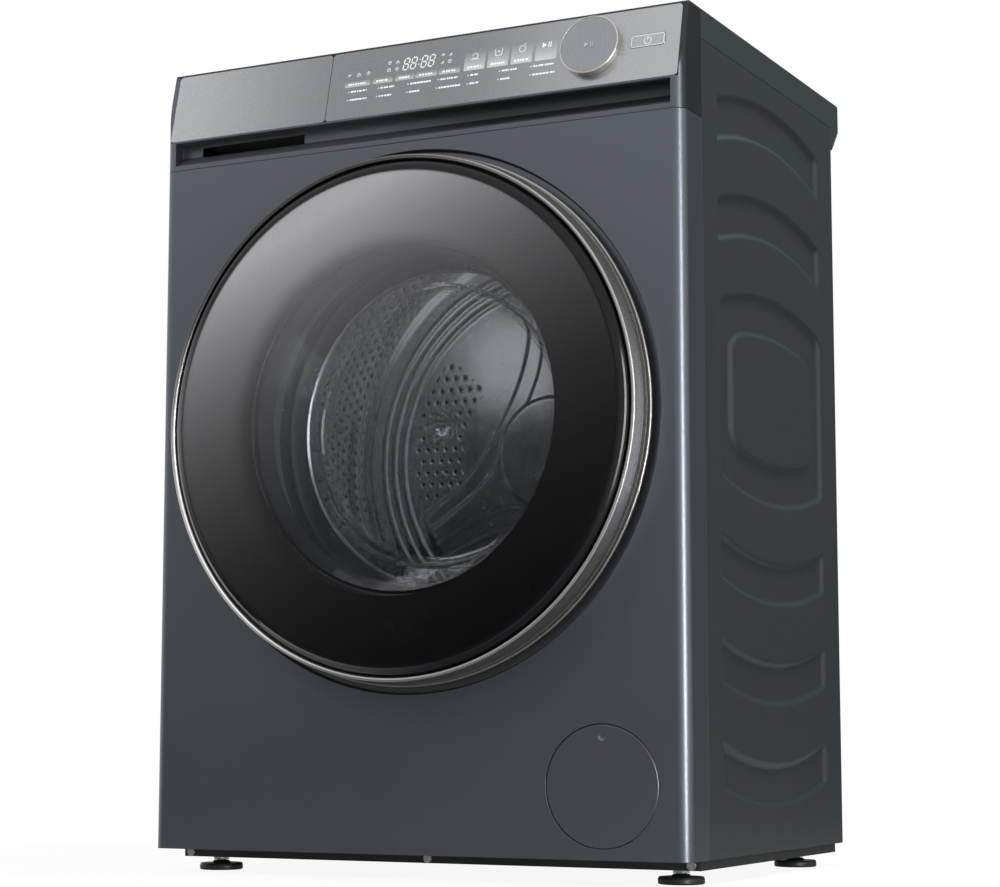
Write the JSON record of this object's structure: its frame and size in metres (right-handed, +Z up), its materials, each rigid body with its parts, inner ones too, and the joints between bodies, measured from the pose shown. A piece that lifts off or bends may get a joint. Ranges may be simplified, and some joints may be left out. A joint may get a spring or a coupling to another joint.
{
  "type": "front load washing machine",
  "caption": "Slim front load washing machine with a round glass door, leaning control fascia, detergent drawer, hung tub and a drum driven directly by its motor.",
  "frame": {"origin": "on the floor, midway across the width and midway between the door glass and the rear edge of the top cover", "axes": "+X to the machine's right as seen from the front, +Y to the rear, +Z up"},
  "size_m": [0.6, 0.5, 0.85],
  "materials": {
    "side_paint": "satin dark grey paint",
    "front_paint": "metallic satin graphite paint",
    "hatch_plastic": "satin graphite plastic",
    "cover_plastic": "satin dark grey plastic",
    "top_board": "dark grey laminated board",
    "rear_steel": "galvanised sheet",
    "base_plastic": "moulded, dark",
    "foot_rubber": "black plastic foot",
    "zinc_screws": "zinc plated",
    "fascia_plastic": "satin graphite plastic",
    "fascia_glass": "glossy metallic grey, printed",
    "board_green": "circuit board",
    "tray_plastic": "light grey moulding",
    "blue_plastic": "blue moulding",
    "knob_plastic": "satin grey",
    "trim_metal": "champagne bright trim",
    "ring_plastic": "black",
    "door_tint": "smoked glass",
    "bowl_glass": "clear moulded glass",
    "frame_plastic": "dark moulding",
    "gasket_rubber": "grey rubber",
    "hose_rubber": "black rubber",
    "tub_plastic": "filled plastic",
    "drum_steel": "stainless steel",
    "lifter_plastic": "grey plastic",
    "cast_alloy": "cast",
    "shaft_steel": "ground steel",
    "copper_coils": "copper wire on laminations",
    "concrete": "cast concrete"
  },
  "bodies": {
    "cabinet": {"side_panel_left": "side_paint", "side_panel_right": "side_paint", "front_panel": "front_paint", "rear_panel": "rear_steel", "rear_cover": "rear_steel", "top_cover": "top_board", "top_rear_trim": "cover_plastic", "base_frame": "base_plastic", "cabinet_screws": "zinc_screws", "control_fascia": "fascia_plastic", "control_glass": "fascia_glass", "control_board": "board_green", "drawer_housing": "tray_plastic", "hinge_base": "zinc_screws", "door_lock": "tray_plastic", "door_gasket": "gasket_rubber", "gasket_clamp": "zinc_screws", "suspension_springs": "zinc_screws", "dampers": "base_plastic", "drain_pump": "tray_plastic", "sump_hose": "hose_rubber", "inlet_valve": "tray_plastic", "drain_spigot": "base_plastic", "mains_gland": "base_plastic", "transit_caps": "base_plastic", "foot_locknuts": "zinc_screws"},
    "tub": {"tub_front": "tub_plastic", "tub_rear": "tub_plastic", "tub_screws": "zinc_screws", "bearings": "drum_steel", "motor_stator": "copper_coils", "counterweight_front": "concrete", "counterweight_top": "concrete", "heater": "drum_steel"},
    "drum": {"drum_shell": "drum_steel", "drum_back": "drum_steel", "drum_lifters": "lifter_plastic", "drum_spider": "cast_alloy", "drum_shaft": "shaft_steel", "motor_rotor": "shaft_steel"},
    "door": {"door_outer_ring": "ring_plastic", "door_trim_ring": "trim_metal", "door_glass": "door_tint", "door_bowl": "bowl_glass", "door_inner_frame": "frame_plastic", "hinge_leaf": "zinc_screws", "door_hook": "zinc_screws"},
    "drawer": {"drawer_tray": "tray_plastic", "drawer_front": "fascia_glass", "siphon_cap": "blue_plastic"},
    "knob": {"programme_knob": "knob_plastic", "knob_ring": "trim_metal"},
    "button": {"power_button": "fascia_glass"},
    "hatch": {"filter_hatch": "hatch_plastic"},
    "filter": {"filter_cap": "blue_plastic"},
    "impeller": {"pump_impeller": "blue_plastic"},
    "foot_fl": {"foot_front_left": "foot_rubber"},
    "foot_fr": {"foot_front_right": "foot_rubber"},
    "foot_rl": {"foot_rear_left": "foot_rubber"},
    "foot_rr": {"foot_rear_right": "foot_rubber"}
  },
  "joints": [
    {"name": "tub_bounce", "type": "slide", "parent": "cabinet", "child": "tub", "axis": [0, 0, 1], "range_m": [-0.008, 0.008], "stiffness_N_per_m": 12000, "springref_m": 0.0203, "deforming": ["suspension_springs", "dampers", "door_gasket", "sump_hose"]},
    {"name": "drum_spin", "type": "hinge", "parent": "tub", "child": "drum", "pos_m": [0, 0.1, 0.455], "axis": [0, 1, 0], "continuous": true},
    {"name": "door_hinge", "type": "hinge", "parent": "cabinet", "child": "door", "pos_m": [-0.256, -0.226, 0.455], "axis": [0, 0, -1], "range_deg": [0, 120]},
    {"name": "drawer_slide", "type": "slide", "parent": "cabinet", "child": "drawer", "axis": [0, -1, 0], "range_m": [0, 0.18]},
    {"name": "knob_turn", "type": "hinge", "parent": "cabinet", "child": "knob", "pos_m": [0.2, -0.20228, 0.81304], "axis": [0, -0.9731, 0.2305], "continuous": true},
    {"name": "button_press", "type": "slide", "parent": "cabinet", "child": "button", "axis": [0, 0.9731, -0.2305], "range_m": [0, 0.0015], "stiffness_N_per_m": 800, "springref_m": -0.0008},
    {"name": "hatch_tilt", "type": "hinge", "parent": "cabinet", "child": "hatch", "pos_m": [0.211, -0.2117, 0.0359], "axis": [1, 0, 0], "range_deg": [0, 85]},
    {"name": "filter_turn", "type": "hinge", "parent": "cabinet", "child": "filter", "pos_m": [0.211, -0.1, 0.093], "axis": [0, -1, 0], "range_deg": [0, 180]},
    {"name": "impeller_spin", "type": "hinge", "parent": "cabinet", "child": "impeller", "pos_m": [0.211, -0.06, 0.093], "axis": [0, 1, 0], "continuous": true},
    {"name": "foot_fl_turn", "type": "hinge", "parent": "cabinet", "child": "foot_fl", "pos_m": [-0.262, -0.142, 0.01], "axis": [0, 0, 1], "continuous": true},
    {"name": "foot_fr_turn", "type": "hinge", "parent": "cabinet", "child": "foot_fr", "pos_m": [0.262, -0.142, 0.01], "axis": [0, 0, 1], "continuous": true},
    {"name": "foot_rl_turn", "type": "hinge", "parent": "cabinet", "child": "foot_rl", "pos_m": [-0.262, 0.177, 0.01], "axis": [0, 0, 1], "continuous": true},
    {"name": "foot_rr_turn", "type": "hinge", "parent": "cabinet", "child": "foot_rr", "pos_m": [0.262, 0.177, 0.01], "axis": [0, 0, 1], "continuous": true}
  ]
}
